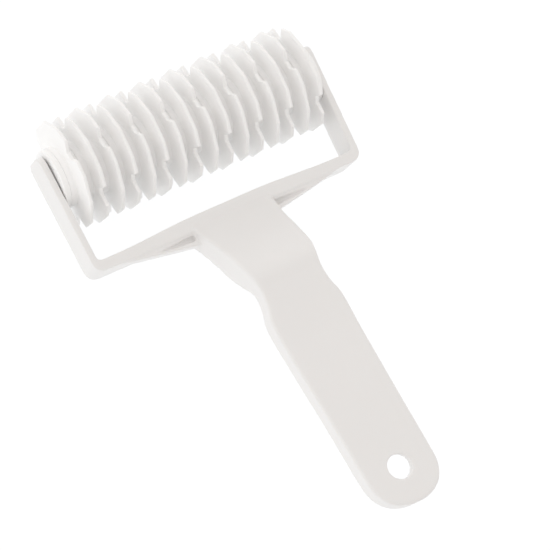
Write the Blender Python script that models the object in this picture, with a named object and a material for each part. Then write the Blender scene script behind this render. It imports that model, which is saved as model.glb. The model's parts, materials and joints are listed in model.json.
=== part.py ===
"""Lattice dough roller: a forked handle carrying sixteen notched cutting discs on one spinning core.

Frame: X runs along the roller's axis, Y from the handle to the roller, Z up, all in metres.
The origin is the centre of the crossbar's inner face. The dimensions and outlines below count Y
from the crossbar's outer face instead, and the finished part is moved by its thickness there.
"""
import math

import bmesh
import bpy
from mathutils import Matrix

MM = 0.001

# Fork: a flat strap bent into a U
FORK_WIDTH = 120.0 * MM
FORK_SPLAY = 1.28 * MM            # how far each arm leans outward at its tip
ARM_LENGTH = 50.6 * MM
ARM_THICKNESS = 2.7 * MM
CROSSBAR_THICKNESS = 4.4 * MM     # at its ends
SWELL = 1.5 * MM                 # how much thicker it is in the middle
SWELL_FLAT = 12.0 * MM           # the swell is flat this far to each side
SWELL_REACH = 50.0 * MM          # and has faded out here
STRAP_HEIGHT = 15.6 * MM
TIP_RADIUS = 4.5 * MM            # rounding of an arm's tip, seen from the side
OUTER_CORNER = 4.5 * MM
INNER_CORNER = 2.0 * MM

# Web that carries the handle's root into the crossbar
WEB_REACH = 49.0 * MM
WEB_ROOT = 13.0 * MM
WEB_DEPTH = 6.2 * MM
WEB_CURVE = 0.9
WEB_WALL = 1.1 * MM
WEB_BOTTOM = 1.0 * MM
WEB_TOP = 7.0 * MM
POCKET_FLOOR = 4.2 * MM
POCKET_START = 17.9 * MM
POCKET_END = 37.0 * MM

# Handle and its ramped neck: (y, height of the top, half width, depth of the side), in mm
HANDLE_STATIONS = [
    (3.0, 7.0, 17.8, 14.7),
    (2.0, 7.8, 17.7, 15.5),
    (0.0, 9.6, 17.5, 17.3),
    (-4.0, 13.2, 17.0, 17.0),
    (-8.0, 16.9, 16.3, 16.8),
    (-16.0, 25.0, 15.6, 17.6),
    (-24.0, 31.7, 15.1, 17.4),
    (-28.5, 33.7, 14.2, 15.4),
    (-34.0, 34.0, 13.5, 9.6),
    (-40.0, 34.3, 13.9, 8.8),
    (-47.0, 34.8, 15.6, 8.8),
    (-60.0, 36.4, 15.6, 8.7),
    (-80.0, 40.4, 15.2, 8.7),
    (-98.0, 44.0, 14.9, 8.7),
    (-132.0, 50.5, 14.7, 8.7),
]
HANDLE_END = -130.4 * MM
HANDLE_STEP = 4.0 * MM
ROOT_Y = 2.0 * MM
PLATE = 2.6 * MM                 # thickness of the handle's top
SIDE_WALL = 2.2 * MM
HOLE_Y = -115.7 * MM
HOLE_RADIUS = 4.8 * MM
BOSS_RADIUS = 7.0 * MM
BOSS_DEPTH = 3.8 * MM

# Roller
AXLE_Y = 41.1 * MM
DISC_COUNT = 16
PITCH = 6.93 * MM
ROLLER_SHIFT = 0.1 * MM         # the roller rests a little to the right in its side play
DISC_RADIUS = 22.4 * MM          # to the corners of a twelve-sided outline
DISC_SIDES = 12
BLADE = 1.6 * MM
NOTCH_COUNT = 3
NOTCH_BOTTOM = 17.2 * MM         # distance of a notch's floor from the axle
NOTCH_HALF_RIM = math.radians(12.5)
NOTCH_HALF_FLOOR = math.radians(5.5)
FIRST_NOTCH = math.radians(79.5)  # from +Y towards +Z
FIRST_CORNER = math.radians(18.0)
ALTERNATE_TURN = math.radians(60.0)
HUB_RADIUS = 12.3 * MM
HUB_WALL = 2.0 * MM
CORE_FLATS = 15.0 * MM
BORE_RADIUS = 3.5 * MM
PIN_RADIUS = 3.43 * MM
PIN_REACH = 6.5 * MM
COLLAR_LENGTH = 2.2 * MM
GAP = 0.3 * MM

CIRCLE_SIDES = 36
NAME = "lattice_roller"
ALONG_X = Matrix(((0, 0, 1, 0), (1, 0, 0, 0), (0, 1, 0, 0), (0, 0, 0, 1)))


def clear_scene():
    for item in list(bpy.data.objects):
        bpy.data.objects.remove(item, do_unlink=True)


def collection(name):
    group = bpy.data.collections.new(name)
    bpy.context.scene.collection.children.link(group)
    return group


def plastic(name, colour, roughness):
    material = bpy.data.materials.new(name)
    material.use_nodes = True
    shader = material.node_tree.nodes["Principled BSDF"]
    shader.inputs["Base Color"].default_value = (*colour, 1.0)
    shader.inputs["Roughness"].default_value = roughness
    shader.inputs["Metallic"].default_value = 0.0
    return material


def link(item, group, material=None):
    for old in list(item.users_collection):
        old.objects.unlink(item)
    group.objects.link(item)
    if material is not None:
        item.data.materials.clear()
        item.data.materials.append(material)
    return item


def as_cutter(item, group):
    link(item, group)
    item.hide_render = True
    item.display_type = "WIRE"
    return item


def outline_solid(name, loops, low, high, turn=None):
    """A flat outline (with any holes) raised from low to high along the local Z axis."""
    curve = bpy.data.curves.new(name + "_outline", "CURVE")
    curve.dimensions = "2D"
    curve.fill_mode = "BOTH"
    curve.extrude = (high - low) / 2.0
    for loop in loops:
        spline = curve.splines.new("POLY")
        spline.points.add(len(loop) - 1)
        for point, place in zip(spline.points, loop):
            point.co = (place[0], place[1], 0.0, 1.0)
        spline.use_cyclic_u = True
    shape = bpy.data.objects.new(name + "_shape", curve)
    bpy.context.scene.collection.objects.link(shape)
    bpy.context.view_layer.update()
    graph = bpy.context.evaluated_depsgraph_get()
    mesh = bpy.data.meshes.new_from_object(shape.evaluated_get(graph))
    bpy.data.objects.remove(shape, do_unlink=True)
    bpy.data.curves.remove(curve)
    mesh.transform(Matrix.Translation((0.0, 0.0, (low + high) / 2.0)))
    if turn is not None:
        mesh.transform(turn)
    soup = bmesh.new()
    soup.from_mesh(mesh)
    bmesh.ops.remove_doubles(soup, verts=soup.verts, dist=0.00001)
    bmesh.ops.recalc_face_normals(soup, faces=soup.faces)
    soup.to_mesh(mesh)
    soup.free()
    mesh.name = name
    return bpy.data.objects.new(name, mesh)


def cylinder(name, radius, length, place, axis="X", sides=32):
    bpy.ops.mesh.primitive_cylinder_add(vertices=sides, radius=radius, depth=length)
    item = bpy.context.active_object
    item.name = name
    turn = Matrix.Rotation(math.radians(90.0), 4, "Y") if axis == "X" else Matrix.Identity(4)
    item.data.transform(Matrix.Translation(place) @ turn)
    return item


def combine(item, other, operation):
    change = item.modifiers.new(other.name, "BOOLEAN")
    change.operation = operation
    change.solver = "EXACT"
    change.object = other


def arc(centre, radius, start, end, steps):
    """Points along an arc, both ends included."""
    return [
        (centre[0] + radius * math.cos(start + (end - start) * i / steps),
         centre[1] + radius * math.sin(start + (end - start) * i / steps))
        for i in range(steps + 1)
    ]


def station(y):
    """Top height, half width and wall depth of the handle at y, eased between the stations."""
    y = min(max(y / MM, HANDLE_STATIONS[-1][0]), HANDLE_STATIONS[0][0])
    rows = HANDLE_STATIONS
    k = next(i for i in range(len(rows) - 1) if rows[i + 1][0] <= y)
    before, a, b, after = rows[max(k - 1, 0)], rows[k], rows[k + 1], rows[min(k + 2, len(rows) - 1)]
    t = (y - a[0]) / (b[0] - a[0])
    result = []
    for i in (1, 2, 3):
        span = b[0] - a[0]
        slope_a = (b[i] - before[i]) / (b[0] - before[0])
        slope_b = (after[i] - a[i]) / (after[0] - a[0])
        value = (a[i] * (2 * t**3 - 3 * t**2 + 1) + b[i] * (3 * t**2 - 2 * t**3)
                 + slope_a * span * (t**3 - 2 * t**2 + t) + slope_b * span * (t**3 - t**2))
        result.append(value * MM)
    return result


def handle_rows(start, end):
    count = round((start - end) / HANDLE_STEP)
    return [start + (end - start) * i / count for i in range(count + 1)]


def offset_station(y, inset):
    top, half_width, depth = station(y)
    ahead = station(y - 0.001)[0]
    slope = (ahead - top) / 0.001
    return top - inset * math.sqrt(1.0 + slope * slope), half_width, depth


def handle_plan(inset, start, end):
    """Outline of the handle seen from above, closed by a round end."""
    radius = station(end)[1] - inset
    middle = end + radius
    rows = handle_rows(start, middle)
    left = [(-(station(y)[1] - inset), y) for y in rows]
    right = [(x * -1.0, y) for x, y in reversed(left)]
    half_turn = arc((0.0, middle), radius, math.pi, 2.0 * math.pi, 16)[1:-1]
    return left + half_turn + right


def handle_side(plate, start, end, open_below):
    """Outline of the handle seen from the side, as (y, z)."""
    rows = handle_rows(start, end)
    top = [(y, offset_station(y, plate)[0]) for y in rows]
    if open_below:
        low = [(y, station(y)[0] - station(y)[2] - 0.004) for y in reversed(rows)]
    else:
        low = [(y, station(y)[0] - station(y)[2]) for y in reversed(rows)]
    return top + low


def crossed(name, plan, side, half_span, low, high):
    """The solid that shows plan from above and side from the side."""
    body = outline_solid(name, [plan], low, high)
    across = outline_solid(name + "_side", [side], -half_span, half_span, ALONG_X)
    return body, across


def swell(x):
    """How much thicker the crossbar is at x than at its ends."""
    t = (abs(x) - SWELL_FLAT) / (SWELL_REACH - SWELL_FLAT)
    t = min(max(t, 0.0), 1.0)
    return SWELL * (1.0 - t * t * (3.0 - 2.0 * t))


def crossbar_inside():
    """The crossbar's inner edge from right to left."""
    steps = 8
    reach = [SWELL_REACH + (SWELL_FLAT - SWELL_REACH) * i / steps for i in range(steps + 1)]
    right = [(x, CROSSBAR_THICKNESS + swell(x)) for x in reach]
    return right + [(-x, y) for x, y in reversed(right)]


def fork_outline():
    half = FORK_WIDTH / 2.0
    tip = half + FORK_SPLAY
    r = OUTER_CORNER
    q = INNER_CORNER
    wall = ARM_THICKNESS
    bar = CROSSBAR_THICKNESS
    left_outer = arc((-half + r, r), r, math.pi, 1.5 * math.pi, 6)
    right_outer = arc((half - r, r), r, 1.5 * math.pi, 2.0 * math.pi, 6)
    right_inner = arc((half - wall - q, bar + q), q, 0.0, -0.5 * math.pi, 4)
    left_inner = arc((-half + wall + q, bar + q), q, -0.5 * math.pi, -math.pi, 4)
    outside = [(-tip, ARM_LENGTH)] + left_outer + right_outer + [(tip, ARM_LENGTH)]
    inside = right_inner + crossbar_inside() + left_inner
    return outside + [(tip - wall, ARM_LENGTH)] + inside + [(-tip + wall, ARM_LENGTH)]


def strap_side():
    """The strap seen from the side, as (y, z), with rounded tips."""
    low = -STRAP_HEIGHT / 2.0
    high = STRAP_HEIGHT / 2.0
    r = TIP_RADIUS
    y = ARM_LENGTH - r
    upper = arc((y, high - r), r, 0.5 * math.pi, 0.0, 6)
    lower = arc((y, low + r), r, 0.0, -0.5 * math.pi, 6)
    return [(-0.010, low), (-0.010, high)] + upper + lower


def web_drop(x):
    """How far the web stands out from the crossbar at x."""
    share = (WEB_REACH - abs(x)) / (WEB_REACH - WEB_ROOT)
    return WEB_DEPTH * share ** WEB_CURVE


def web_outline():
    steps = 10
    left = [-WEB_REACH + (WEB_REACH - WEB_ROOT) * i / steps for i in range(steps + 1)]
    curve = [(x, -web_drop(x)) for x in left]
    mirrored = [(-x, y) for x, y in reversed(curve)]
    return curve + mirrored + [(WEB_REACH, 0.002), (-WEB_REACH, 0.002)]


def pocket_outline(side):
    steps = 5
    xs = [POCKET_START + (POCKET_END - POCKET_START) * i / steps for i in range(steps + 1)]
    edge = [(side * x, WEB_WALL - web_drop(x)) for x in xs]
    return edge + [(side * POCKET_END, 0.0), (side * POCKET_START, 0.0)]


def inner_face(y):
    """Distance of an arm's inner face from the middle at y."""
    return FORK_WIDTH / 2.0 + FORK_SPLAY * y / ARM_LENGTH - ARM_THICKNESS


def regular(radius, sides, turn=0.0):
    return [
        (radius * math.cos(turn + 2.0 * math.pi * i / sides),
         radius * math.sin(turn + 2.0 * math.pi * i / sides))
        for i in range(sides)
    ]


def hexagon(across_flats):
    return regular(across_flats / 2.0 / math.cos(math.pi / 6.0), 6, FIRST_NOTCH)


def rim_radius(angle):
    """Radius of the twelve-sided outline at an angle."""
    side = 2.0 * math.pi / DISC_SIDES
    across = (angle - FIRST_CORNER) % side - side / 2.0
    return DISC_RADIUS * math.cos(side / 2.0) / math.cos(across)


def wrapped(angle):
    return (angle + math.pi) % (2.0 * math.pi) - math.pi


def disc_outline():
    """A twelve-sided outline with three notches."""
    side = 2.0 * math.pi / DISC_SIDES
    corners = [(DISC_RADIUS, FIRST_CORNER + k * side) for k in range(DISC_SIDES)]
    for k in range(NOTCH_COUNT):
        notch = FIRST_NOTCH + k * 2.0 * math.pi / NOTCH_COUNT
        corners = [c for c in corners if abs(wrapped(c[1] - notch)) > NOTCH_HALF_RIM]
        for sign in (-1.0, 1.0):
            rim = notch + sign * NOTCH_HALF_RIM
            corners.append((rim_radius(rim), rim))
            corners.append((NOTCH_BOTTOM, notch + sign * NOTCH_HALF_FLOOR))
    corners.sort(key=lambda c: c[1] % (2.0 * math.pi))
    return [(radius * math.cos(angle), radius * math.sin(angle)) for radius, angle in corners]


def make_disc_mesh(cutters):
    bore = hexagon(CORE_FLATS + 2.0 * GAP)
    blade = outline_solid("blade", [disc_outline(), bore], -BLADE / 2.0, BLADE / 2.0, ALONG_X)
    reach = (PITCH - GAP) / 2.0
    outer = regular(HUB_RADIUS, CIRCLE_SIDES)
    inner = regular(HUB_RADIUS - HUB_WALL, CIRCLE_SIDES)
    ring = outline_solid("hub_ring", [outer, inner], -reach, reach, ALONG_X)
    as_cutter(ring, cutters)
    bpy.context.scene.collection.objects.link(blade)
    combine(blade, ring, "UNION")
    bpy.context.view_layer.update()
    graph = bpy.context.evaluated_depsgraph_get()
    mesh = bpy.data.meshes.new_from_object(blade.evaluated_get(graph))
    mesh.name = "cutter_disc"
    bpy.data.objects.remove(blade, do_unlink=True)
    bpy.data.objects.remove(ring, do_unlink=True)
    return mesh


def shade_round(mesh):
    """Smooth the shallow facets of round walls and keep every real edge sharp."""
    soup = bmesh.new()
    soup.from_mesh(mesh)
    for face in soup.faces:
        face.smooth = True
    for edge in soup.edges:
        edge.smooth = len(edge.link_faces) == 2 and edge.calc_face_angle(0.0) < math.radians(20.0)
    soup.to_mesh(mesh)
    soup.free()


def build_yoke(parts, cutters, material):
    fork = outline_solid("yoke_handle", [fork_outline()], -STRAP_HEIGHT / 2.0, STRAP_HEIGHT / 2.0)
    link(fork, parts, material)
    tips = outline_solid("tip_rounding", [strap_side()], -FORK_WIDTH, FORK_WIDTH, ALONG_X)
    combine(fork, as_cutter(tips, cutters), "INTERSECT")

    web = outline_solid("web", [web_outline()], WEB_BOTTOM, WEB_TOP)
    combine(fork, as_cutter(web, cutters), "UNION")

    plan = handle_plan(0.0, ROOT_Y, HANDLE_END)
    side = handle_side(0.0, ROOT_Y, HANDLE_END - 0.002, False)
    grip, across = crossed("grip", plan, side, 0.030, -0.020, 0.070)
    combine(grip, as_cutter(across, cutters), "INTERSECT")
    combine(fork, as_cutter(grip, cutters), "UNION")

    plan = handle_plan(SIDE_WALL, -SIDE_WALL, HANDLE_END + SIDE_WALL)
    side = handle_side(PLATE, -SIDE_WALL + 0.001, HANDLE_END, True)
    trough, inside = crossed("trough", plan, side, 0.030, -0.030, 0.070)
    combine(trough, as_cutter(inside, cutters), "INTERSECT")
    boss = cylinder("boss_space", BOSS_RADIUS, 0.030, boss_place(BOSS_DEPTH - 0.015), "Z", 28)
    combine(trough, as_cutter(boss, cutters), "DIFFERENCE")
    combine(fork, as_cutter(trough, cutters), "DIFFERENCE")
    return fork


def boss_place(below):
    return (0.0, HOLE_Y, station(HOLE_Y)[0] - below)


def finish_yoke(fork, cutters):
    for side in (-1.0, 1.0):
        pocket = outline_solid("pocket", [pocket_outline(side)], POCKET_FLOOR, 0.020)
        combine(fork, as_cutter(pocket, cutters), "DIFFERENCE")
    hole = cylinder("hole_space", HOLE_RADIUS, 0.060, boss_place(0.0), "Z", CIRCLE_SIDES)
    combine(fork, as_cutter(hole, cutters), "DIFFERENCE")
    for side in (-1.0, 1.0):
        root = inner_face(AXLE_Y) + ARM_THICKNESS / 2.0
        tip = inner_face(AXLE_Y) - PIN_REACH
        middle = side * (root + tip) / 2.0
        pin = cylinder("pin", PIN_RADIUS, root - tip, (middle, AXLE_Y, 0.0), "X", CIRCLE_SIDES)
        combine(fork, as_cutter(pin, cutters), "UNION")


def build_discs(parts, cutters, material):
    mesh = make_disc_mesh(cutters)
    mesh.materials.clear()
    mesh.materials.append(material)
    shade_round(mesh)
    for k in range(1, DISC_COUNT + 1):
        disc = bpy.data.objects.new("cutter_disc_%02d" % k, mesh)
        x = (k - (DISC_COUNT + 1) / 2.0) * PITCH + ROLLER_SHIFT
        disc.location = (x, AXLE_Y, 0.0)
        if k % 2 == 0:
            disc.rotation_euler = (ALTERNATE_TURN, 0.0, 0.0)
        parts.objects.link(disc)


def build_core(parts, material):
    stack = DISC_COUNT * PITCH / 2.0
    outer_end = stack + COLLAR_LENGTH
    bore = regular(BORE_RADIUS, CIRCLE_SIDES)
    core = outline_solid("roller_core", [hexagon(CORE_FLATS), bore], -outer_end, outer_end, ALONG_X)
    core.location = (ROLLER_SHIFT, AXLE_Y, 0.0)
    link(core, parts, material)
    shade_round(core.data)
    for name, side in (("end_collar_left", -1.0), ("end_collar_right", 1.0)):
        hole = hexagon(CORE_FLATS + 2.0 * GAP)
        rim = regular(HUB_RADIUS, CIRCLE_SIDES)
        near = stack + GAP / 2.0
        far = outer_end
        low, high = (near, far) if side > 0.0 else (-far, -near)
        collar = outline_solid(name, [rim, hole], low, high, ALONG_X)
        collar.location = (ROLLER_SHIFT, AXLE_Y, 0.0)
        link(collar, parts, material)
        shade_round(collar.data)


def main():
    clear_scene()
    parts = collection(NAME)
    cutters = collection(NAME + "_cutters")
    shell = plastic("white_shell_plastic", (0.80, 0.79, 0.77), 0.38)
    blades = plastic("white_blade_plastic", (0.82, 0.81, 0.79), 0.42)
    fork = build_yoke(parts, cutters, shell)
    finish_yoke(fork, cutters)
    build_discs(parts, cutters, blades)
    build_core(parts, blades)
    for item in list(parts.objects) + list(cutters.objects):
        item.location.y -= CROSSBAR_THICKNESS + SWELL


main()
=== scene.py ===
"""Looks for the lattice dough roller: fine meshes with moulded edges, plastics, floor, light and camera."""

import json
import math

import bmesh
import bpy
from mathutils import Matrix, Vector


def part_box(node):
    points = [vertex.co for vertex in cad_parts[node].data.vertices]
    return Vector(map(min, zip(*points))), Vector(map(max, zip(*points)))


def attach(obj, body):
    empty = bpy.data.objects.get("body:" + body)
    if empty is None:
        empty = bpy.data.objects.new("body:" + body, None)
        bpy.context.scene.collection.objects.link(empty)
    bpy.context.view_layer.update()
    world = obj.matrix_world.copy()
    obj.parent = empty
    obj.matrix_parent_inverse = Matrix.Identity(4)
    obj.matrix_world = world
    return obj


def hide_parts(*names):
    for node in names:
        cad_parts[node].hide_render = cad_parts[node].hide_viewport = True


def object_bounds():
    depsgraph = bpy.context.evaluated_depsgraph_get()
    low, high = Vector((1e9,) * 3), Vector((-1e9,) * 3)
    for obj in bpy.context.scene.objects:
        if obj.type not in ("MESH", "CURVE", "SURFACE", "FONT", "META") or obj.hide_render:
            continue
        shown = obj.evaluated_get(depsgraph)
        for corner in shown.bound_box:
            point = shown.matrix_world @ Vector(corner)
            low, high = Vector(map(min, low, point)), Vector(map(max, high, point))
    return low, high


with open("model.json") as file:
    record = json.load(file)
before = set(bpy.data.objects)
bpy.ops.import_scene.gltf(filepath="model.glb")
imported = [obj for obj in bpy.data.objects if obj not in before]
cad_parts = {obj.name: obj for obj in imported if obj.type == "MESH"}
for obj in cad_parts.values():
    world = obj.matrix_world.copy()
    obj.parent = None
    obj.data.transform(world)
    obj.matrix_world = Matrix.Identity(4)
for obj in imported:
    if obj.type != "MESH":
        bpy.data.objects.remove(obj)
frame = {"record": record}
cad_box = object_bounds()

MM = 0.001
MERGE = 0.001                    # points nearer than this, in mm, are one
BAR = 4.4                        # crossbar thickness at its ends; outlines count Y from its outer face
SWELL = 1.5                      # how much thicker the crossbar is in the middle
SWELL_FLAT = 12.0
SWELL_REACH = 50.0
TO_FRAME = -(BAR + SWELL)        # from the outlines' Y to the frame's
ALONG_X = Matrix(((0, 0, 1, 0), (1, 0, 0, 0), (0, 1, 0, 0), (0, 0, 0, 1)))    # (x, y, z) to (z, x, y)
JOINT = frame["record"]["behaviour"]["joints"][0]
AXLE = Vector(JOINT["pos_m"]) / MM

# Handle: (y, height of the top, half width, depth of the side), in mm
STATIONS = [
    (3.0, 7.0, 17.8, 14.7),
    (2.0, 7.8, 17.7, 15.5),
    (0.0, 9.6, 17.5, 17.3),
    (-4.0, 13.2, 17.0, 17.0),
    (-8.0, 16.9, 16.3, 16.8),
    (-16.0, 25.0, 15.6, 17.6),
    (-24.0, 31.7, 15.1, 17.4),
    (-28.5, 33.7, 14.2, 15.4),
    (-34.0, 34.0, 13.5, 9.6),
    (-40.0, 34.3, 13.9, 8.8),
    (-47.0, 34.8, 15.6, 8.8),
    (-60.0, 36.4, 15.6, 8.7),
    (-80.0, 40.4, 15.2, 8.7),
    (-98.0, 44.0, 14.9, 8.7),
    (-132.0, 50.5, 14.7, 8.7),
]
HANDLE_END = -130.4
TIP_SQUARENESS = 2.25            # exponent of the rounded tip's outline; 2 would be a circle
ROOT_Y = 2.0
TOP_ROUND = 1.2                  # rounding of the handle's upper edges
TROUGH_ROUND = 1.0
PLATE = 2.6                      # thickness of the handle's top, over the trough
SIDE_WALL = 2.2
HOLE_Y = -115.7
HOLE_RADIUS = 4.8
BOSS_RADIUS = 7.0
BOSS_DEPTH = 3.8
HOLE_CUT = 60.0                  # length of the cutter for the hanging hole
BOSS_CUT = 30.0                  # and of the one that keeps the trough out of the boss


def station(y):
    """Top height, half width and side depth at y, eased between the stations."""
    y = min(max(y, STATIONS[-1][0]), STATIONS[0][0])
    k = next(i for i in range(len(STATIONS) - 1) if STATIONS[i + 1][0] <= y)
    before, a, b = STATIONS[max(k - 1, 0)], STATIONS[k], STATIONS[k + 1]
    after = STATIONS[min(k + 2, len(STATIONS) - 1)]
    span = b[0] - a[0]
    t = (y - a[0]) / span
    result = []
    for i in (1, 2, 3):
        slope_a = (b[i] - before[i]) / (b[0] - before[0])
        slope_b = (after[i] - a[i]) / (after[0] - a[0])
        value = (a[i] * (2 * t**3 - 3 * t**2 + 1) + b[i] * (3 * t**2 - 2 * t**3)
                 + slope_a * span * (t**3 - 2 * t**2 + t) + slope_b * span * (t**3 - t**2))
        result.append(value)
    return result


def arc(centre, radius, start, end, steps):
    """Points round part of a circle, from the angle start to the angle end."""
    return [
        (centre[0] + radius * math.cos(start + (end - start) * i / steps),
         centre[1] + radius * math.sin(start + (end - start) * i / steps))
        for i in range(steps + 1)
    ]


def regular(radius, sides, turn=0.0):
    """Corners of a regular polygon."""
    return [
        (radius * math.cos(turn + 2.0 * math.pi * i / sides),
         radius * math.sin(turn + 2.0 * math.pi * i / sides))
        for i in range(sides)
    ]


def add_object(name, mesh):
    item = bpy.data.objects.new(name, mesh)
    bpy.context.scene.collection.objects.link(item)
    return item


def evaluated_mesh(item):
    bpy.context.view_layer.update()
    graph = bpy.context.evaluated_depsgraph_get()
    return bpy.data.meshes.new_from_object(item.evaluated_get(graph))


def outline_mesh(name, loops, low, high, turn=None):
    """A flat outline with any holes, raised from low to high; lengths in mm."""
    curve = bpy.data.curves.new(name, "CURVE")
    curve.dimensions = "2D"
    curve.fill_mode = "BOTH"
    curve.extrude = (high - low) / 2.0
    for loop in loops:
        spline = curve.splines.new("POLY")
        spline.points.add(len(loop) - 1)
        for point, place in zip(spline.points, loop):
            point.co = (place[0], place[1], 0.0, 1.0)
        spline.use_cyclic_u = True
    item = bpy.data.objects.new(name, curve)
    bpy.context.scene.collection.objects.link(item)
    mesh = evaluated_mesh(item)
    bpy.data.objects.remove(item, do_unlink=True)
    bpy.data.curves.remove(curve)
    mesh.transform(Matrix.Translation((0.0, 0.0, (low + high) / 2.0)))
    if turn is not None:
        mesh.transform(turn)
    soup = bmesh.new()
    soup.from_mesh(mesh)
    bmesh.ops.remove_doubles(soup, verts=soup.verts, dist=MERGE)
    bmesh.ops.recalc_face_normals(soup, faces=soup.faces)
    soup.to_mesh(mesh)
    soup.free()
    return mesh


def boolean(mesh, other, operation):
    """mesh changed by other; both are meshes in mm."""
    item = add_object("left_operand", mesh)
    tool = add_object("right_operand", other)
    modifier = item.modifiers.new("change", "BOOLEAN")
    modifier.operation = operation
    modifier.solver = "EXACT"
    modifier.object = tool
    result = evaluated_mesh(item)
    bpy.data.objects.remove(item, do_unlink=True)
    bpy.data.objects.remove(tool, do_unlink=True)
    return result


def join(meshes):
    """All the meshes in one, without merging them."""
    soup = bmesh.new()
    for mesh in meshes:
        soup.from_mesh(mesh)
    result = bpy.data.meshes.new("joined")
    soup.to_mesh(result)
    soup.free()
    return result


def cylinder_mesh(radius, length, place, turn=None, sides=96):
    soup = bmesh.new()
    bmesh.ops.create_cone(soup, cap_ends=True, segments=sides, radius1=radius, radius2=radius, depth=length)
    mesh = bpy.data.meshes.new("cylinder")
    soup.to_mesh(mesh)
    soup.free()
    if turn is not None:
        mesh.transform(turn)
    mesh.transform(Matrix.Translation(place))
    return mesh


def fall(index, y, half_step):
    """How fast one of a station's values falls along Y."""
    return (station(y - half_step)[index] - station(y + half_step)[index]) / (2.0 * half_step)


def handle_edge(inset, start):
    """Left half of the handle's plan outline, root to tip, with inward normals: (x, y, nx, ny)."""
    points = []
    radius = station(HANDLE_END)[1] - inset
    middle = HANDLE_END + inset + radius
    count = int(start - middle)
    for i in range(count):
        y = start + (middle - start) * i / count
        w = station(y)[1] - inset
        lean = fall(1, y, 0.25)
        size = math.hypot(1.0, lean)
        points.append((-w, y, 1.0 / size, -lean / size))
    steps = 28
    power = TIP_SQUARENESS
    for i in range(steps + 1):
        t = 0.5 * math.pi * i / steps
        c, s = math.cos(t), math.sin(t)
        grow = (c**power + s**power) ** (-1.0 / power)
        nx = (c * grow) ** (power - 1.0)
        ny = (s * grow) ** (power - 1.0)
        size = math.hypot(nx, ny)
        points.append((-radius * c * grow, middle - radius * s * grow, nx / size, ny / size))
    return points


def handle_solid(inset, plate, rounding, start, drop):
    """The handle's body as a loft, inset all round and plate below its top; drop lowers its underside."""
    rows = []
    turns = 6
    across = 10
    for x, y, nx, ny in handle_edge(inset, start):
        top, _, depth = station(y)
        slope = fall(0, y, 0.5)
        lower = plate * math.sqrt(1.0 + slope * slope)
        row = [(x, y, top - depth - drop)]
        for i in range(turns + 1):
            t = 0.5 * math.pi * i / turns
            step = rounding * (1.0 - math.cos(t))
            px = min(x + nx * step, 0.0)
            py = y + ny * step
            row.append((px, py, station(py)[0] - lower - rounding * (1.0 - math.sin(t))))
        px, py, pz = row[-1]
        for i in range(1, across // 2):
            share = 1.0 - 2.0 * i / across
            row.append((px * share, py, pz))
        row.append((0.0, py, pz))
        row += [(-q[0], q[1], q[2]) for q in reversed(row[:-1])]
        rows.append(row)
    soup = bmesh.new()
    grid = [[soup.verts.new(p) for p in row] for row in rows]
    width = len(grid[0])
    for a, b in zip(grid[:-1], grid[1:]):
        for i in range(width):
            j = (i + 1) % width
            soup.faces.new((a[i], a[j], b[j], b[i]))
    soup.faces.new(grid[0])
    bmesh.ops.remove_doubles(soup, verts=soup.verts, dist=0.0005)
    bmesh.ops.dissolve_degenerate(soup, edges=soup.edges, dist=0.0005)
    bmesh.ops.recalc_face_normals(soup, faces=soup.faces)
    mesh = bpy.data.meshes.new("handle")
    soup.to_mesh(mesh)
    soup.free()
    return mesh


# Fork
HALF = 60.0                      # half the fork's width at the crossbar
SPLAY = 1.28                     # how much further out an arm is at its tip
ARM = 50.6                       # arm length, from the crossbar's outer face
WALL = 2.7                       # arm thickness
STRAP = 15.6                     # height of crossbar and arms
TIP_RADIUS = 4.5
OUTER_CORNER = 4.5
INNER_CORNER = 2.0
WEB_REACH = 49.0                 # where a web fades out, from the middle
WEB_ROOT = 13.0                  # where it is deepest, inside the handle
WEB_DEPTH = 6.2
WEB_CURVE = 0.9
WEB_BOTTOM = 1.0
WEB_TOP = 7.0
POCKET_FLOOR = 4.4               # at the handle; it rises towards the far end
POCKET_RISE = 2.4
POCKET_START = 17.7
POCKET_END = 38.5
POCKET_NEAR = -0.9               # the pocket's two long edges run from here and from POCKET_FAR to its tip
POCKET_FAR = -3.4
POCKET_TIP = -2.1
POCKET_TIP_HALF = 0.1            # half the width left at the tip
PIN_RADIUS = 3.25                # slimmer than in CAD, as the skin over it is a little uneven
PIN_REACH = 6.5                  # from the arm's inner face
VOXEL = 0.4                      # of the skin over the whole moulding
SMOOTHING = 6                    # rounds that soften the skin's edges


def swell(x):
    """How much thicker the crossbar is at x than at its ends."""
    t = (abs(x) - SWELL_FLAT) / (SWELL_REACH - SWELL_FLAT)
    t = min(max(t, 0.0), 1.0)
    return SWELL * (1.0 - t * t * (3.0 - 2.0 * t))


def crossbar_inside():
    """The crossbar's inner edge from right to left."""
    steps = 24
    reach = [SWELL_REACH + (SWELL_FLAT - SWELL_REACH) * i / steps for i in range(steps + 1)]
    right = [(x, BAR + swell(x)) for x in reach]
    return right + [(-x, y) for x, y in reversed(right)]


def fork_outline():
    """Crossbar and arms from above."""
    tip = HALF + SPLAY
    r, q = OUTER_CORNER, INNER_CORNER
    left_outer = arc((-HALF + r, r), r, math.pi, 1.5 * math.pi, 10)
    right_outer = arc((HALF - r, r), r, 1.5 * math.pi, 2.0 * math.pi, 10)
    right_inner = arc((HALF - WALL - q, BAR + q), q, 0.0, -0.5 * math.pi, 8)
    left_inner = arc((-HALF + WALL + q, BAR + q), q, -0.5 * math.pi, -math.pi, 8)
    outside = [(-tip, ARM)] + left_outer + right_outer + [(tip, ARM)]
    inside = right_inner + crossbar_inside() + left_inner
    return outside + [(tip - WALL, ARM)] + inside + [(-tip + WALL, ARM)]


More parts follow.
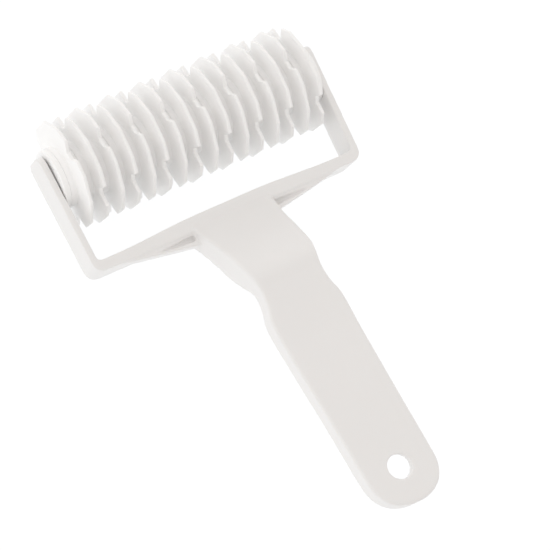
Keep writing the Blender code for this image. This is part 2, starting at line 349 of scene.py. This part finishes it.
def strap_side():
    """Crossbar and arms from the side, (y, z), starting behind the crossbar."""
    behind = -10.0
    low, high, r = -STRAP / 2.0, STRAP / 2.0, TIP_RADIUS
    upper = arc((ARM - r, high - r), r, 0.5 * math.pi, 0.0, 12)
    lower = arc((ARM - r, low + r), r, 0.0, -0.5 * math.pi, 12)
    return [(behind, low), (behind, high)] + upper + lower


def web_drop(x):
    """How far behind the crossbar's outer face a web's edge is at x."""
    share = (WEB_REACH - abs(x)) / (WEB_REACH - WEB_ROOT)
    return WEB_DEPTH * share ** WEB_CURVE


def web_outline():
    """Both webs from above, joined under the handle and sunk into the crossbar."""
    sunk = 2.0
    steps = 30
    left = [-WEB_REACH + (WEB_REACH - WEB_ROOT) * i / steps for i in range(steps + 1)]
    curve = [(x, -web_drop(x)) for x in left]
    return curve + [(-x, y) for x, y in reversed(curve)] + [(WEB_REACH, sunk), (-WEB_REACH, sunk)]


def make_pocket(side):
    """The hollow behind a web's lip, narrowing and rising to a point away from the handle."""
    start, end = side * POCKET_START, side * POCKET_END
    outline = [(start, POCKET_NEAR), (start, POCKET_FAR)]
    outline += [(end, POCKET_TIP - POCKET_TIP_HALF), (end, POCKET_TIP + POCKET_TIP_HALF)]
    mesh = outline_mesh("pocket", [outline], POCKET_FLOOR, 2.0 * WEB_TOP)
    for vertex in mesh.vertices:
        if vertex.co.z < WEB_TOP:
            vertex.co.z += POCKET_RISE * (abs(vertex.co.x) - POCKET_START) / (POCKET_END - POCKET_START)
    return mesh


def inner_face(y):
    """Distance of an arm's inner face from the middle at y."""
    return HALF + SPLAY * y / ARM - WALL


def remesh(mesh):
    """One skin over everything in mesh, with its edges softened."""
    item = add_object("remeshed", mesh)
    skin = item.modifiers.new("skin", "REMESH")
    skin.mode = "VOXEL"
    skin.voxel_size = VOXEL
    skin.adaptivity = 0.0
    skin.use_smooth_shade = True
    soften = item.modifiers.new("soften", "SMOOTH")
    soften.factor = 0.5
    soften.iterations = SMOOTHING
    result = evaluated_mesh(item)
    bpy.data.objects.remove(item, do_unlink=True)
    return result


def make_yoke():
    """The whole white moulding: fork, webs, handle and the two stub pins."""
    fork = outline_mesh("fork", [fork_outline()], -STRAP / 2.0, STRAP / 2.0)
    fork = boolean(fork, outline_mesh("tips", [strap_side()], -2 * HALF, 2 * HALF, ALONG_X), "INTERSECT")
    web = outline_mesh("web", [web_outline()], WEB_BOTTOM, WEB_TOP)
    fork = boolean(fork, web, "UNION")

    grip = handle_solid(0.0, 0.0, TOP_ROUND, ROOT_Y, 0.0)
    trough = handle_solid(SIDE_WALL, PLATE, TROUGH_ROUND, -SIDE_WALL, 5.0)
    top = station(HOLE_Y)[0]
    boss = cylinder_mesh(BOSS_RADIUS, BOSS_CUT, (0.0, HOLE_Y, top - BOSS_DEPTH + BOSS_CUT / 2.0))
    trough = boolean(trough, boss, "DIFFERENCE")
    fork = boolean(fork, grip, "UNION")
    fork = boolean(fork, trough, "DIFFERENCE")
    for side in (-1.0, 1.0):
        fork = boolean(fork, make_pocket(side), "DIFFERENCE")
    fork = boolean(fork, cylinder_mesh(HOLE_RADIUS, HOLE_CUT, (0.0, HOLE_Y, top)), "DIFFERENCE")
    pieces = [fork]
    turn = Matrix.Rotation(math.radians(90.0), 4, "Y")
    axle_y = AXLE.y - TO_FRAME
    root = inner_face(axle_y) + WALL / 2.0
    tip = inner_face(axle_y) - PIN_REACH
    for side in (-1.0, 1.0):
        place = (side * (root + tip) / 2.0, axle_y, 0.0)
        pieces.append(cylinder_mesh(PIN_RADIUS, root - tip, place, turn))
    return remesh(join(pieces))


def place_mesh(mesh, shift):
    """Moves a mesh in mm by shift and turns it to metres."""
    mesh.transform(Matrix.Scale(MM, 4) @ Matrix.Translation(shift))


# Roller
DISC_COUNT = 16
DISC_RADIUS = 22.4               # to the corners of a twelve-sided outline
DISC_SIDES = 12
NOTCH_COUNT = 3
NOTCH_BOTTOM = 17.2              # radius of a notch's floor
NOTCH_HALF_RIM = math.radians(12.5)
NOTCH_HALF_FLOOR = math.radians(5.5)
FIRST_NOTCH = math.radians(79.5)
FIRST_CORNER = math.radians(18.0)
ALTERNATE_TURN = math.radians(60.0)
HUB_RADIUS = 12.3
HUB_WALL = 2.0
CORE_FLATS = 15.0                # across the core's flats
BORE_RADIUS = 3.5
GAP = 0.3                        # round the core
RING_GAP = 0.04                  # between the hub rings of neighbouring discs
COLLAR_IN = 0.12                 # a collar reaches this much nearer to its disc than in CAD
COLLAR_OUT = 0.12                # and this much nearer to its arm
PITCH = 6.93
ROOT_HALF = 1.0                  # half thickness of a blade next to the hub ring
RIM_HALF = 0.62                  # and at its rim
EDGE = 0.3                       # rounding of the rim's two edges
EDGE_MIDDLE = 0.29 * EDGE        # how far in from the sharp corner its middle point lies
BORE_EDGE = 0.15                 # chamfer of the hexagonal hole
RING_EDGE = 0.2                  # chamfer of the hub ring's inner edge
HUB_EDGE = 0.25                  # rounding of its outer edge
HUB_EDGE_MIDDLE = 0.07           # the same for this rounding
HUB_FILLET = 0.5                 # from the hub ring to the blade
HUB_FILLET_MIDDLE = 0.15         # how far out from the inside corner its middle point lies
RING_BEVEL = 0.15                # edges of the core and the collars


def corner_radius(across_flats):
    """Radius to the corners of a hexagon."""
    return across_flats / 2.0 / math.cos(math.pi / 6.0)


def hexagon(across_flats):
    return regular(corner_radius(across_flats), 6, FIRST_NOTCH)


def polygon_radius(angle, to_corner, sides, first_corner):
    """Radius of a regular polygon's outline at an angle."""
    side = 2.0 * math.pi / sides
    across = (angle - first_corner) % side - side / 2.0
    return to_corner * math.cos(side / 2.0) / math.cos(across)


def wrapped(angle):
    """The same angle, from -180 to 180 degrees."""
    return (angle + math.pi) % (2.0 * math.pi) - math.pi


def rim_radius(angle):
    """Radius of the notched outline at an angle."""
    full = polygon_radius(angle, DISC_RADIUS, DISC_SIDES, FIRST_CORNER)
    for k in range(NOTCH_COUNT):
        off = abs(wrapped(angle - FIRST_NOTCH - k * 2.0 * math.pi / NOTCH_COUNT))
        if off <= NOTCH_HALF_FLOOR:
            return NOTCH_BOTTOM
        if off < NOTCH_HALF_RIM:
            share = (off - NOTCH_HALF_FLOOR) / (NOTCH_HALF_RIM - NOTCH_HALF_FLOOR)
            return NOTCH_BOTTOM + (full - NOTCH_BOTTOM) * share
    return full


def disc_angles():
    """Angles at which the disc is sampled: every real corner, a little either side of it, and between."""
    near = math.radians(0.35)
    clear = math.radians(0.8)
    between = 120
    corners = [FIRST_CORNER + k * 2.0 * math.pi / DISC_SIDES for k in range(DISC_SIDES)]
    for k in range(NOTCH_COUNT):
        notch = FIRST_NOTCH + k * 2.0 * math.pi / NOTCH_COUNT
        for half in (-NOTCH_HALF_RIM, -NOTCH_HALF_FLOOR, NOTCH_HALF_FLOOR, NOTCH_HALF_RIM):
            corners.append(notch + half)
    corners += [FIRST_NOTCH + k * math.pi / 3.0 for k in range(6)]
    exact = [round((c + d) % (2.0 * math.pi), 6) for c in corners for d in (-near, 0.0, near)]
    spread = [k * 2.0 * math.pi / between for k in range(between)]
    spread = [a for a in spread if min(abs(wrapped(a - e)) for e in exact) > clear]
    return sorted(set(exact + spread))


def blade_half(radius):
    """Half a blade's thickness at a radius."""
    share = (radius - HUB_RADIUS) / (DISC_RADIUS - HUB_RADIUS)
    return ROOT_HALF + (RIM_HALF - ROOT_HALF) * min(max(share, 0.0), 1.0)


def disc_profile(angle):
    """One face of the disc's section from bore to rim at an angle, as (radius, x)."""
    reach = (PITCH - RING_GAP) / 2.0
    bore = polygon_radius(angle, corner_radius(CORE_FLATS + 2.0 * GAP), 6, FIRST_NOTCH)
    inner = HUB_RADIUS - HUB_WALL
    blade = HUB_RADIUS + HUB_FILLET
    rim = rim_radius(angle)
    points = [(bore, 0.0), (bore, ROOT_HALF - BORE_EDGE), (bore + BORE_EDGE, ROOT_HALF)]
    points += [(inner - RING_EDGE, ROOT_HALF), (inner, ROOT_HALF + RING_EDGE)]
    points += [(inner, reach - RING_EDGE), (inner + RING_EDGE, reach)]
    points += [(HUB_RADIUS - HUB_EDGE, reach), (HUB_RADIUS - HUB_EDGE_MIDDLE, reach - HUB_EDGE_MIDDLE)]
    points += [(HUB_RADIUS, reach - HUB_EDGE), (HUB_RADIUS, ROOT_HALF + HUB_FILLET)]
    points += [(HUB_RADIUS + HUB_FILLET_MIDDLE, ROOT_HALF + HUB_FILLET_MIDDLE), (blade, blade_half(blade))]
    for share in (0.33, 0.66):
        radius = blade + share * (rim - EDGE - HUB_RADIUS - HUB_FILLET)
        points.append((radius, blade_half(radius)))
    half = blade_half(rim)
    points += [(rim - EDGE, blade_half(rim - EDGE)), (rim - EDGE_MIDDLE, half - EDGE_MIDDLE)]
    points += [(rim, half - EDGE), (rim, 0.0)]
    return points


def bevelled(mesh, width):
    """mesh with its flat faces whole and its sharp edges rounded."""
    soup = bmesh.new()
    soup.from_mesh(mesh)
    bmesh.ops.remove_doubles(soup, verts=soup.verts, dist=MERGE)
    bmesh.ops.dissolve_limit(soup, angle_limit=math.radians(1.0), verts=soup.verts, edges=soup.edges)
    soup.to_mesh(mesh)
    soup.free()
    item = add_object("bevelled", mesh)
    edges = item.modifiers.new("edges", "BEVEL")
    edges.width = width
    edges.segments = 3
    edges.limit_method = "ANGLE"
    edges.angle_limit = math.radians(30.0)
    edges.use_clamp_overlap = True
    edges.miter_outer = "MITER_ARC"
    result = evaluated_mesh(item)
    bpy.data.objects.remove(item, do_unlink=True)
    return result


def shade(mesh):
    """Smooth shading, with the edges of more than 35 degrees left sharp."""
    sharp = math.radians(35.0)
    soup = bmesh.new()
    soup.from_mesh(mesh)
    for face in soup.faces:
        face.smooth = True
    for edge in soup.edges:
        edge.smooth = len(edge.link_faces) == 2 and edge.calc_face_angle(0.0) < sharp
    soup.to_mesh(mesh)
    soup.free()


def make_disc():
    """One cutting disc with its hub ring, turned from sections that follow the notched rim."""
    soup = bmesh.new()
    rings = []
    for angle in disc_angles():
        half = disc_profile(angle)
        section = half + [(radius, -x) for radius, x in reversed(half[1:-1])]
        rings.append([
            soup.verts.new((x, radius * math.cos(angle), radius * math.sin(angle))) for radius, x in section
        ])
    count = len(rings[0])
    for a, b in zip(rings, rings[1:] + rings[:1]):
        for i in range(count):
            j = (i + 1) % count
            soup.faces.new((a[i], a[j], b[j], b[i]))
    bmesh.ops.recalc_face_normals(soup, faces=soup.faces)
    mesh = bpy.data.meshes.new("disc")
    soup.to_mesh(mesh)
    soup.free()
    shade(mesh)
    return mesh


def make_ring_piece(name, outer, inner, low, high):
    """A short tube along X from low to high."""
    mesh = outline_mesh(name, [outer, inner], low, high, ALONG_X)
    mesh = bevelled(mesh, RING_BEVEL)
    shade(mesh)
    return mesh


# Materials
def plastic(name, colour, roughness, seed, depth):
    """Moulded white plastic: faint cloudiness, uneven gloss and a very fine moulded grain."""
    material = bpy.data.materials.new(name)
    material.use_nodes = True
    tree = material.node_tree
    shader = tree.nodes["Principled BSDF"]
    place = tree.nodes.new("ShaderNodeTexCoord")
    cloud = tree.nodes.new("ShaderNodeTexNoise")
    cloud.noise_dimensions = "4D"
    cloud.inputs["W"].default_value = seed
    cloud.inputs["Scale"].default_value = 38.0
    cloud.inputs["Detail"].default_value = 4.0
    tree.links.new(place.outputs["Object"], cloud.inputs["Vector"])
    tint = tree.nodes.new("ShaderNodeMixRGB")
    tint.inputs["Color1"].default_value = (*[c * 0.985 for c in colour], 1.0)
    tint.inputs["Color2"].default_value = (*[min(c * 1.015, 1.0) for c in colour], 1.0)
    tree.links.new(cloud.outputs["Fac"], tint.inputs["Fac"])
    tree.links.new(tint.outputs["Color"], shader.inputs["Base Color"])
    gloss = tree.nodes.new("ShaderNodeMapRange")
    gloss.inputs["From Min"].default_value = 0.3
    gloss.inputs["From Max"].default_value = 0.7
    gloss.inputs["To Min"].default_value = roughness - 0.04
    gloss.inputs["To Max"].default_value = roughness + 0.04
    tree.links.new(cloud.outputs["Fac"], gloss.inputs["Value"])
    tree.links.new(gloss.outputs["Result"], shader.inputs["Roughness"])
    grain = tree.nodes.new("ShaderNodeTexNoise")
    grain.inputs["Scale"].default_value = 900.0
    grain.inputs["Detail"].default_value = 3.0
    tree.links.new(place.outputs["Object"], grain.inputs["Vector"])
    bump = tree.nodes.new("ShaderNodeBump")
    bump.inputs["Strength"].default_value = 0.12
    bump.inputs["Distance"].default_value = 0.00015
    tree.links.new(grain.outputs["Fac"], bump.inputs["Height"])
    tree.links.new(bump.outputs["Normal"], shader.inputs["Normal"])
    shader.inputs["Metallic"].default_value = 0.0
    shader.inputs["IOR"].default_value = 1.49
    shader.inputs["Specular IOR Level"].default_value = 0.25
    shader.inputs["Subsurface Weight"].default_value = 0.2
    shader.inputs["Subsurface Radius"].default_value = (1.0, 0.95, 0.92)
    shader.inputs["Subsurface Scale"].default_value = depth * MM
    return material


def put(name, mesh, body, material, node):
    """Adds mesh as the piece that shows node on its body."""
    mesh.materials.clear()
    mesh.materials.append(material)
    mesh.name = name
    item = add_object(name, mesh)
    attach(item, body)
    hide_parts(node)


def add_yoke(material):
    yoke = make_yoke()
    place_mesh(yoke, (0.0, TO_FRAME, 0.0))
    put("yoke_handle_shell", yoke, "yoke", material, "yoke_handle")


def add_discs(material):
    """The sixteen discs at their nodes' places, every second one turned."""
    disc = make_disc()
    for k in range(1, DISC_COUNT + 1):
        node = "cutter_disc_%02d" % k
        low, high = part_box(node)
        copy = disc.copy()
        if k % 2 == 0:
            copy.transform(Matrix.Rotation(ALTERNATE_TURN, 4, "X"))
        place_mesh(copy, ((low[0] + high[0]) / 2.0 / MM, AXLE.y, AXLE.z))
        put("blade_disc_%02d" % k, copy, "roller", material, node)


def add_core(material):
    low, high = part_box("roller_core")
    core = make_ring_piece("core", hexagon(CORE_FLATS), regular(BORE_RADIUS, 64), low[0] / MM, high[0] / MM)
    place_mesh(core, (0.0, AXLE.y, AXLE.z))
    put("core_tube", core, "roller", material, "roller_core")


def add_collar(material, side, low_growth, high_growth):
    node = "end_collar_" + side
    low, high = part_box(node)
    hole = hexagon(CORE_FLATS + 2.0 * GAP)
    ends = low[0] / MM - low_growth, high[0] / MM + high_growth
    collar = make_ring_piece("collar", regular(HUB_RADIUS, 96), hole, *ends)
    place_mesh(collar, (0.0, AXLE.y, AXLE.z))
    put("collar_ring_" + side, collar, "roller", material, node)


shell = plastic("shell_plastic", (0.868, 0.857, 0.848), 0.40, seed=1.0, depth=0.8)
blades = plastic("blade_plastic", (0.985, 0.98, 0.974), 0.45, seed=2.0, depth=0.4)
add_yoke(shell)
add_discs(blades)
add_core(blades)
add_collar(blades, "left", COLLAR_OUT, COLLAR_IN)
add_collar(blades, "right", COLLAR_IN, COLLAR_OUT)


# Floor and light
FLOOR_HALF = 3.0                 # metres
FLOOR_GAP = 0.3 * MM             # below the lowest disc
SKY_STRENGTH = 0.848
SKY_LEAN = (0.0, 0.08, 0.0)      # how much brighter the sky is towards each axis
KEY_PLACE = (-1.1, 0.5, 0.9)
KEY_AIM = (0.0, -0.03, 0.0)


def make_floor():
    """A pale floor that glows a little, as a lit white sweep does."""
    z = cad_box[0][2] - FLOOR_GAP
    mesh = bpy.data.meshes.new("floor")
    corners = [(x * FLOOR_HALF, y * FLOOR_HALF, z) for x, y in ((-1, -1), (1, -1), (1, 1), (-1, 1))]
    mesh.from_pydata(corners, [], [(0, 1, 2, 3)])
    floor = add_object("floor", mesh)
    material = bpy.data.materials.new("floor_white")
    material.use_nodes = True
    shader = material.node_tree.nodes["Principled BSDF"]
    shader.inputs["Base Color"].default_value = (0.25, 0.25, 0.25, 1.0)
    shader.inputs["Roughness"].default_value = 0.9
    shader.inputs["Emission Color"].default_value = (0.985, 1.0, 1.01, 1.0)
    shader.inputs["Emission Strength"].default_value = 0.82
    mesh.materials.append(material)


def make_sky():
    """A soft warm white from everywhere, a little brighter on the roller's side."""
    world = bpy.data.worlds.new("studio")
    bpy.context.scene.world = world
    world.use_nodes = True
    tree = world.node_tree
    sky = tree.nodes["Background"]
    sky.inputs["Color"].default_value = (1.0, 0.976, 0.956, 1.0)
    direction = tree.nodes.new("ShaderNodeTexCoord")
    lean = tree.nodes.new("ShaderNodeVectorMath")
    lean.operation = "DOT_PRODUCT"
    lean.inputs[1].default_value = SKY_LEAN
    tree.links.new(direction.outputs["Generated"], lean.inputs[0])
    level = tree.nodes.new("ShaderNodeMath")
    level.operation = "ADD"
    level.inputs[1].default_value = SKY_STRENGTH
    tree.links.new(lean.outputs["Value"], level.inputs[0])
    tree.links.new(level.outputs["Value"], sky.inputs["Strength"])


def make_key_light():
    data = bpy.data.lights.new("key", "AREA")
    data.shape = "DISK"
    data.size = 0.8
    data.energy = 1.6
    lamp = bpy.data.objects.new("key", data)
    bpy.context.scene.collection.objects.link(lamp)
    lamp.location = KEY_PLACE
    lamp.rotation_euler = (Vector(KEY_AIM) - Vector(KEY_PLACE)).to_track_quat("-Z", "Y").to_euler()


make_floor()
make_sky()
make_key_light()


# Camera
AZIMUTH = math.radians(-75.417)
ELEVATION = math.radians(68.205)
ROLL = math.radians(50.053)
TARGET = Vector((7.493, -27.328 + TO_FRAME, 0.0)) * MM
DISTANCE = 1.0287                # metres
LENS = 172.96
SENSOR = 36.0


def make_camera():
    """Looks down at TARGET, rolled about its line of sight."""
    level = math.cos(ELEVATION)
    back = Vector((math.sin(AZIMUTH) * level, -math.cos(AZIMUTH) * level, math.sin(ELEVATION)))
    right = (-back).cross(Vector((0.0, 0.0, 1.0))).normalized()
    up = right.cross(-back)
    turned_right = math.cos(ROLL) * right + math.sin(ROLL) * up
    turned_up = math.cos(ROLL) * up - math.sin(ROLL) * right
    data = bpy.data.cameras.new("camera")
    data.lens = LENS
    data.sensor_width = SENSOR
    data.clip_end = 20.0
    camera = bpy.data.objects.new("camera", data)
    bpy.context.scene.collection.objects.link(camera)
    pose = Matrix((turned_right, turned_up, back)).transposed().to_4x4()
    pose.translation = TARGET + back * DISTANCE
    camera.matrix_world = pose
    bpy.context.scene.camera = camera


make_camera()
bpy.context.scene.view_settings.view_transform = "Standard"
